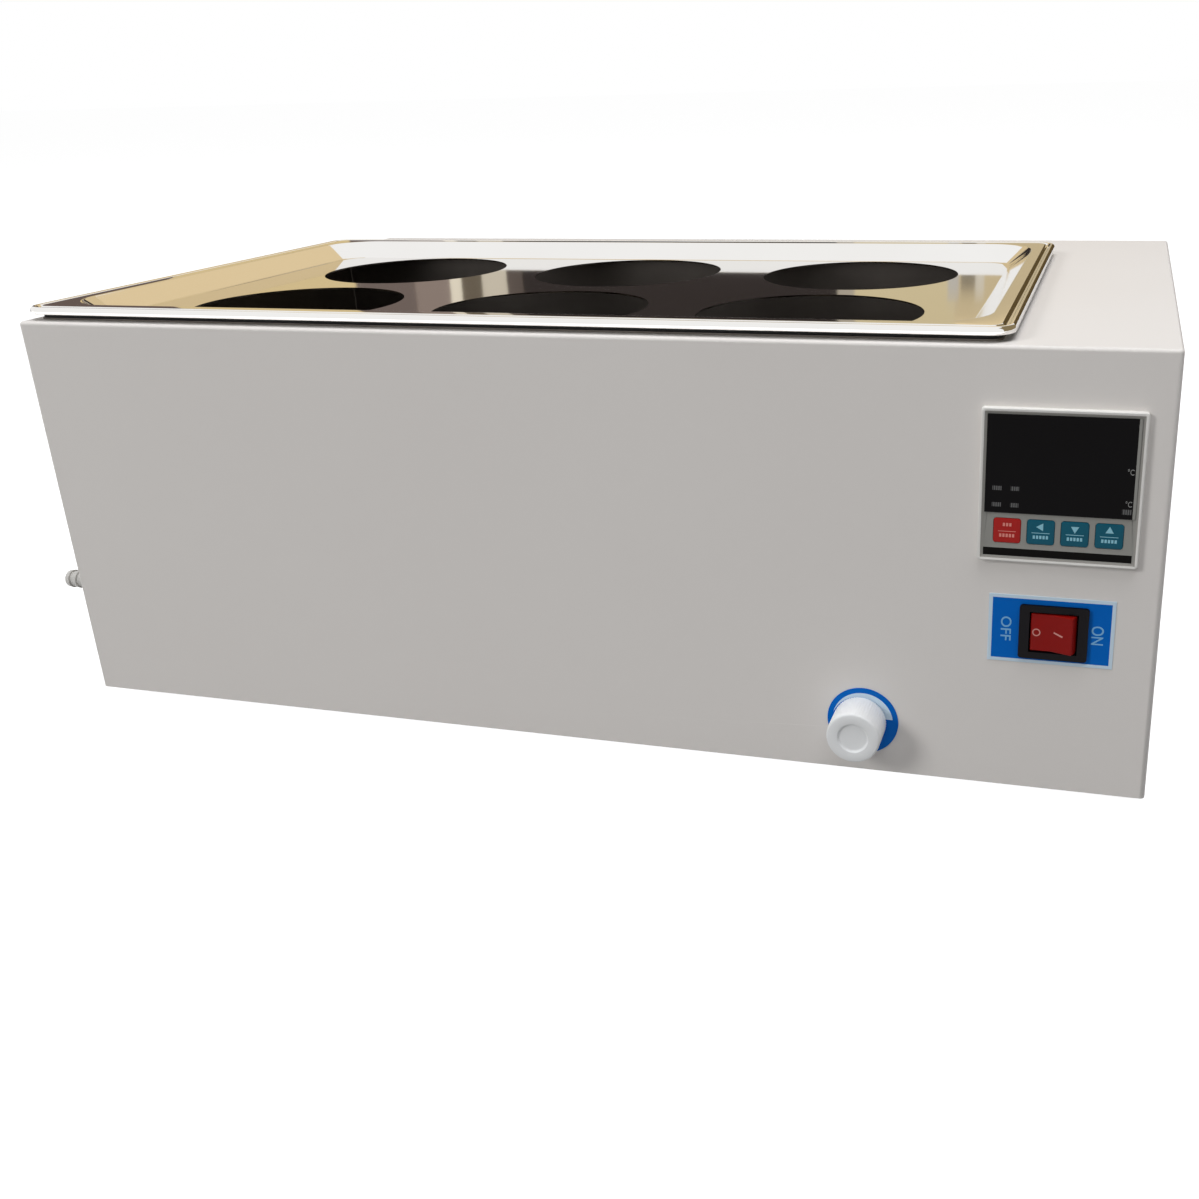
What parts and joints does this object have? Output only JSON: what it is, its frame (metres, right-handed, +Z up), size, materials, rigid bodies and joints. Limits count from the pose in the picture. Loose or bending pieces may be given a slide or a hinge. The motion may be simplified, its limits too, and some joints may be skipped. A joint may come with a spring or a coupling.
{
  "type": "thermostatic water bath",
  "caption": "Benchtop laboratory water bath with magnetic stirring: painted steel casing, polished sunk deck with round places, controller, rocker switch, speed knob and side drain tap.",
  "frame": {"origin": "on the bench, below the middle of the bath's outline", "axes": "+X along the width to the controller end, +Y from the front to the back, +Z up"},
  "size_m": [0.6402, 0.4142, 0.2367],
  "materials": {
    "casing_paint": "satin powder coat",
    "polished_steel": "mirror polished",
    "tank_steel": "satin",
    "plated_steel": "zinc plated",
    "black_rubber": "matt",
    "wool_board": "matt fibre",
    "heater_steel": "dull",
    "brass": "satin",
    "motor_case": "satin",
    "carrier_plastic": "satin",
    "bezel_plastic": "satin",
    "black_plastic": "satin",
    "window_plastic": "glossy",
    "key_red": "satin film",
    "key_teal": "satin film",
    "blue_film": "satin film",
    "rocker_red": "glossy",
    "knob_white": "satin",
    "circuit_board": "satin",
    "component_mix": "satin",
    "cream_plastic": "satin",
    "tap_plastic": "satin",
    "lead_black": "satin",
    "lead_red": "satin"
  },
  "bodies": {
    "bath": {"casing": "casing_paint", "base_plate": "plated_steel", "base_screws": "plated_steel", "rear_panel": "casing_paint", "rear_screws": "plated_steel", "feet": "black_rubber", "foot_screws": "plated_steel", "foot_nuts": "plated_steel", "rim_seal": "black_rubber", "tank": "tank_steel", "tank_shelf": "tank_steel", "insulation_boards": "wool_board", "heater_tube": "heater_steel", "heater_fittings": "brass", "temperature_probe": "tank_steel", "probe_gland": "brass", "motor_rails": "plated_steel", "rail_screws": "plated_steel", "stir_motors": "motor_case", "motor_screws": "plated_steel", "controller_bezel": "bezel_plastic", "controller_case": "black_plastic", "controller_board": "circuit_board", "controller_clamps": "plated_steel", "display_window": "window_plastic", "switch_label": "blue_film", "switch_frame": "black_plastic", "speed_scale": "blue_film", "potentiometer": "motor_case", "potentiometer_nut": "brass", "speed_board": "circuit_board", "board_parts": "component_mix", "board_standoffs": "brass", "heater_relay": "black_plastic", "terminal_strip": "cream_plastic", "power_inlet": "black_plastic", "inlet_screws": "plated_steel", "fuse_holder": "black_plastic", "drain_elbow": "brass", "drain_floor_nut": "brass", "drain_wall_nut": "brass", "drain_tap_body": "tap_plastic", "power_leads": "lead_black", "heater_leads": "lead_red"},
    "cover": {"cover_tray": "polished_steel"},
    "rocker": {"switch_rocker": "rocker_red"},
    "speed_control": {"speed_knob": "knob_white", "knob_shaft": "plated_steel"},
    "set_key": {"key_set": "key_red"},
    "shift_key": {"key_shift": "key_teal"},
    "down_key": {"key_down": "key_teal"},
    "up_key": {"key_up": "key_teal"},
    "drain_plug": {"drain_lever": "tap_plastic"},
    "fuse_carrier": {"fuse_cap": "black_plastic"},
    "rotor_1": {"stir_rotor_1": "carrier_plastic"},
    "rotor_2": {"stir_rotor_2": "carrier_plastic"},
    "rotor_3": {"stir_rotor_3": "carrier_plastic"},
    "rotor_4": {"stir_rotor_4": "carrier_plastic"},
    "rotor_5": {"stir_rotor_5": "carrier_plastic"},
    "rotor_6": {"stir_rotor_6": "carrier_plastic"}
  },
  "joints": [
    {"name": "cover_lift", "type": "slide", "parent": "bath", "child": "cover", "axis": [0, 0, 1], "range_m": [0, 0.15]},
    {"name": "rocker_rock", "type": "hinge", "parent": "bath", "child": "rocker", "pos_m": [0.27265, -0.18515, 0.09565], "axis": [0, 0, 1], "range_deg": [0, 20]},
    {"name": "speed_turn", "type": "hinge", "parent": "bath", "child": "speed_control", "pos_m": [0.18085, -0.19715, 0.0396], "axis": [0, 1, 0], "range_deg": [0, 280]},
    {"name": "set_press", "type": "slide", "parent": "bath", "child": "set_key", "axis": [0, 1, 0], "range_m": [0, 0.0005], "stiffness_N_per_m": 1200},
    {"name": "shift_press", "type": "slide", "parent": "bath", "child": "shift_key", "axis": [0, 1, 0], "range_m": [0, 0.0005], "stiffness_N_per_m": 1200},
    {"name": "down_press", "type": "slide", "parent": "bath", "child": "down_key", "axis": [0, 1, 0], "range_m": [0, 0.0005], "stiffness_N_per_m": 1200},
    {"name": "up_press", "type": "slide", "parent": "bath", "child": "up_key", "axis": [0, 1, 0], "range_m": [0, 0.0005], "stiffness_N_per_m": 1200},
    {"name": "drain_turn", "type": "hinge", "parent": "bath", "child": "drain_plug", "pos_m": [-0.29555, -0.15315, 0.0655], "axis": [0, 0, 1], "range_deg": [0, 90]},
    {"name": "fuse_cap_turn", "type": "hinge", "parent": "bath", "child": "fuse_carrier", "pos_m": [0.28005, 0.19615, 0.098], "axis": [0, 1, 0], "range_deg": [0, 90]},
    {"name": "rotor_1_spin", "type": "hinge", "parent": "bath", "child": "rotor_1", "pos_m": [-0.16775, -0.09785, 0.062], "axis": [0, 0, 1], "continuous": true},
    {"name": "rotor_2_spin", "type": "hinge", "parent": "bath", "child": "rotor_2", "pos_m": [-0.01575, -0.09785, 0.062], "axis": [0, 0, 1], "continuous": true},
    {"name": "rotor_3_spin", "type": "hinge", "parent": "bath", "child": "rotor_3", "pos_m": [0.13625, -0.09785, 0.062], "axis": [0, 0, 1], "continuous": true},
    {"name": "rotor_4_spin", "type": "hinge", "parent": "bath", "child": "rotor_4", "pos_m": [-0.16775, 0.03865, 0.062], "axis": [0, 0, 1], "continuous": true},
    {"name": "rotor_5_spin", "type": "hinge", "parent": "bath", "child": "rotor_5", "pos_m": [-0.01575, 0.03865, 0.062], "axis": [0, 0, 1], "continuous": true},
    {"name": "rotor_6_spin", "type": "hinge", "parent": "bath", "child": "rotor_6", "pos_m": [0.13625, 0.03865, 0.062], "axis": [0, 0, 1], "continuous": true}
  ]
}
